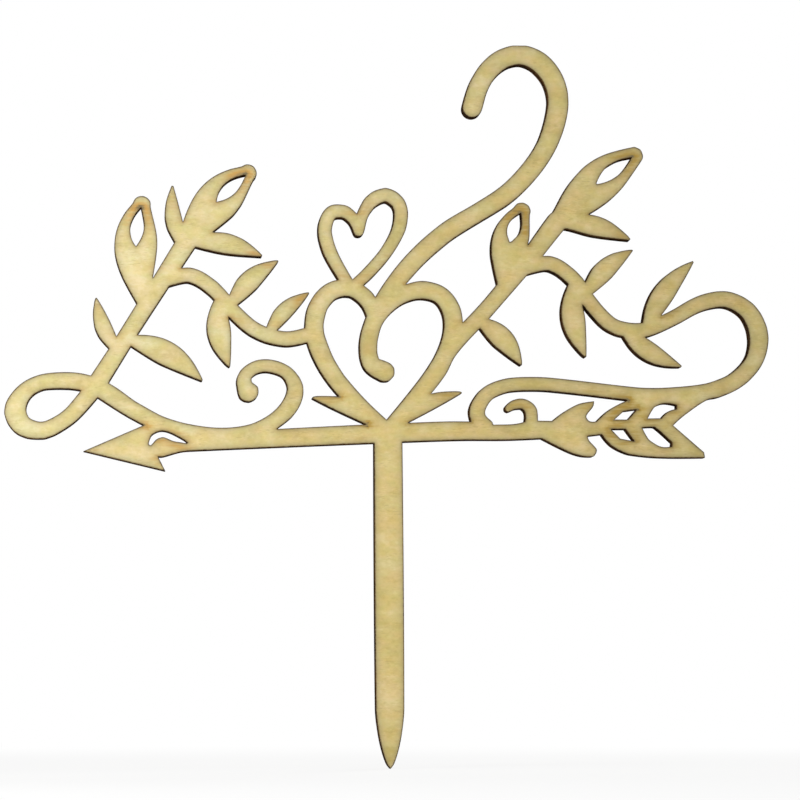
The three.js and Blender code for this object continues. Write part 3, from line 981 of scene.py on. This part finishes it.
@dataclass
class Veneer:
    """A face veneer: a fine cap outside, the cut wall, and a plain side against the glue."""

    name: str
    ply: Ply
    facing: Facing
    filler: SheetFiller
    heat: HeatMap
    finish: bpy.types.Material
    edge_finish: bpy.types.Material
    on_cut_share: float = 0.25

    def build(self) -> bpy.types.Object:
        """Builds the veneer where its node is.

        Returns:
            The closed, dressed piece.
        """
        low, high = (corner.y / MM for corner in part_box(self.ply.value))
        outer, inner = (low, high) if self.facing is Facing.FRONT else (high, low)
        inwards = -self.facing.value
        cap = self._cap(outer, inwards)
        rim_level = outer + inwards * self.filler.arris_depths[-1]
        plain = self.filler.plain()
        thing = Workbench.lay(self.name, plain, np.full(len(plain.places), inner))
        Workbench.thicken(thing, rim_level - inner)
        Workbench.swap_cap(thing, cap, rim_level)
        Workbench.smooth(thing)
        self._mark(thing)
        self._dress(thing, inner)
        return thing

    def _dress(self, thing: bpy.types.Object, inner: float) -> None:
        """Gives the cap the face's finish, and all that reaches the inner level the cut's."""
        mesh = thing.data
        for finish in (self.finish, self.edge_finish):
            mesh.materials.append(finish)
        deep = Workbench.at_level(mesh, inner)
        slots = [int(any(deep[v] for v in face.vertices)) for face in mesh.polygons]
        mesh.polygons.foreach_set("material_index", slots)

    def _cap(self, outer: float, inwards: int) -> bpy.types.Object:
        """Lays out the fine cap, with its edge eased to a small quarter round.

        Args:
            outer: The face's place along Y.
            inwards: The direction along Y into the sheet.

        Returns:
            The cap as an open sheet.
        """
        fine = self.filler.fine()
        depth = np.maximum(self.filler.line.distances(fine.places), 0)
        depth[: fine.rim_count] = 0
        radius = self.filler.arris_depths[-1]
        across = np.clip(radius - depth, 0, radius)
        eased = radius - np.sqrt(radius**2 - across**2)
        return Workbench.lay(self.name + "_cap", fine, outer + inwards * eased)

    def _mark(self, thing: bpy.types.Object) -> None:
        """Writes the distance from the cut, and its heat, on every vertex."""
        mesh = thing.data
        flat = places_of(mesh)[:, [0, 2]]
        distance = np.abs(self.filler.line.distances(flat))
        distance[distance < self.filler.arris_depths[0] * self.on_cut_share] = 0
        for mark, values in ((CutMark.DISTANCE, distance), (CutMark.HEAT, self.heat.at(flat))):
            layer = mesh.attributes.new(mark.value, "FLOAT", "POINT")
            layer.data.foreach_set("value", values.astype(np.float32))


@dataclass
class InnerPly:
    """The core or a glue line, of which only the cut wall shows."""

    name: str
    ply: Ply
    filler: SheetFiller
    finish: bpy.types.Material
    drawn_back: float = 0.0

    def build(self) -> bpy.types.Object:
        """Builds the ply where its node is.

        Returns:
            The closed, dressed piece.
        """
        low, high = (corner.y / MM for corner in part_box(self.ply.value))
        plain = self.filler.plain(self.drawn_back)
        thing = Workbench.lay(self.name, plain, np.full(len(plain.places), low))
        Workbench.thicken(thing, high - low)
        Workbench.smooth(thing)
        thing.data.materials.append(self.finish)
        return thing


# ---------------------------------------------------------------- the whole topper


@dataclass
class CakeTopper:
    """The five plies of the sheet, cut together."""

    frame: dict[str, Any]
    glue_drawn_back: float = 0.03
    face: FaceFinish = FaceFinish()
    edge: CharFinish = CharFinish()
    glue: CharFinish = CharFinish(deep=linear(4, 3, 2), brown=linear(16, 11, 8))

    def build(self) -> list[bpy.types.Object]:
        """Builds every ply with its materials, hides the node that it replaces, and ties it to
        its body.

        Returns:
            The finished pieces, front to back.
        """
        line = CutLine(self.frame["nodes"][Ply.FRONT_VENEER.value])
        filler, heat = SheetFiller(line), HeatMap(line)
        face = self.face.make("pale_face_veneer")
        edge = self.edge.make("charred_cut_edge")
        glue = self.glue.make("charred_glue")
        makers = (
            Veneer("veneer_front", Ply.FRONT_VENEER, Facing.FRONT, filler, heat, face, edge),
            InnerPly("glue_front", Ply.FRONT_GLUE, filler, glue, self.glue_drawn_back),
            InnerPly("core", Ply.CORE, filler, edge),
            InnerPly("glue_back", Ply.BACK_GLUE, filler, glue, self.glue_drawn_back),
            Veneer("veneer_back", Ply.BACK_VENEER, Facing.BACK, filler, heat, face, edge),
        )
        pieces = []
        for maker in makers:
            piece, ply = maker.build(), maker.ply
            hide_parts(ply.value)
            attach(piece, "root")
            LOG.info("%s: %d faces", piece.name, len(piece.data.polygons))
            pieces.append(piece)
        return pieces


# ---------------------------------------------------------------- the studio


@dataclass(frozen=True)
class Lamp:
    """A soft square lamp that looks at the topper.

    Args:
        name: The lamp's name.
        place: Where it stands, in metres.
        size: The side of its square, in metres.
        power: Its power in watts.
    """

    name: str
    place: Triple
    size: float
    power: float


@dataclass
class Studio:
    """Camera, lamps, pale floor and white surroundings."""

    middle: Triple = (0.002, 0.0, 0.0719)
    camera_place: Triple = (-0.06, -0.7, 0.012)
    camera_roll: float = math.radians(-0.42)
    lens: float = 161.9
    nearest_seen: float = 0.01
    lamps: tuple[Lamp, ...] = (
        Lamp("key", (-0.27, -0.29, 0.12), 0.2, 1.43),
        Lamp("above", (0.0, -0.15, 0.7), 0.5, 1.1),
        Lamp("rear", (0.35, 0.5, 0.35), 0.4, 3.5),
    )
    surround: float = 0.085
    floor_size: float = 6.0
    floor_color: Color = (0.87, 0.87, 0.86)
    floor_glow: Span = (0.82, 1.0)
    floor_fade: Span = (0.1, 0.5)

    def build(self) -> None:
        """Sets up everything round the topper."""
        bpy.context.scene.view_settings.view_transform = "Standard"
        self._camera()
        for lamp in self.lamps:
            self._light(lamp)
        self._world()
        self._floor()

    def _camera(self) -> None:
        """Places the camera in front, a little to the left and low."""
        turn = self._aim(self.camera_place) @ Quaternion((0, 0, 1), self.camera_roll)
        bpy.ops.object.camera_add(location=self.camera_place, rotation=turn.to_euler())
        camera = bpy.context.object
        camera.data.lens = self.lens
        camera.data.clip_start = self.nearest_seen
        bpy.context.scene.camera = camera

    def _aim(self, place: Triple) -> Quaternion:
        """Returns the turn that points a camera or lamp at the topper's middle."""
        return (Vector(self.middle) - Vector(place)).to_track_quat("-Z", "Y")

    def _light(self, lamp: Lamp) -> None:
        """Adds a lamp."""
        turn = self._aim(lamp.place).to_euler()
        bpy.ops.object.light_add(type="AREA", location=lamp.place, rotation=turn)
        light = bpy.context.object
        light.name = lamp.name
        light.data.size = lamp.size
        light.data.energy = lamp.power

    @staticmethod
    def _seen(bench: TreeBench) -> bpy.types.NodeSocket:
        """Adds 1 for what the camera sees, straight or in gloss or glass."""
        rays = bench.add("ShaderNodeLightPath").outputs
        seen = rays["Is Camera Ray"]
        for other in ("Is Glossy Ray", "Is Transmission Ray"):
            seen = bench.math("MAXIMUM", seen, rays[other])
        return seen

    def _world(self) -> None:
        """Surrounds the scene with white that lights it only in part."""
        world = bpy.data.worlds.new("white_surround")
        bpy.context.scene.world = world
        bench = TreeBench(world)
        lights = (
            bench.add("ShaderNodeBackground", {"Color": WHITE, "Strength": strength}).outputs[0]
            for strength in (self.surround, 1.0)
        )
        mix = bench.blended(self._seen(bench), *lights)
        bench.add("ShaderNodeOutputWorld", {0: mix})

    def _floor(self) -> None:
        """Lays a pale floor level with the stake's tip, which keeps a soft shadow."""
        bpy.ops.mesh.primitive_plane_add(size=self.floor_size, location=(0, 0, 0))
        floor = bpy.context.object
        floor.name = "floor"
        bench = MaterialBench("pale_floor")
        matte = bench.add("ShaderNodeBsdfDiffuse", {"Color": (*self.floor_color, 1)})
        glow = bench.add("ShaderNodeEmission", {"Color": WHITE, "Strength": 1})
        place = bench.add("ShaderNodeTexCoord").outputs["Object"]
        away = bench.add("ShaderNodeVectorMath", {0: place}, operation="LENGTH")
        fade = bench.between(away.outputs["Value"], *self.floor_fade, *self.floor_glow)
        share = bench.math("MULTIPLY", fade, self._seen(bench))
        mix = bench.blended(share, matte.outputs[0], glow.outputs[0])
        bench.add("ShaderNodeOutputMaterial", {0: mix})
        floor.data.materials.append(bench.material)


def main() -> None:
    logging.basicConfig(level=logging.INFO, format="%(name)s: %(message)s")
    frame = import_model()
    bpy.ops.object.select_all(action="DESELECT")
    Studio().build()
    pieces = CakeTopper(frame).build()
    LOG.info("%d pieces", len(pieces))


if __name__ == "__main__":
    main()
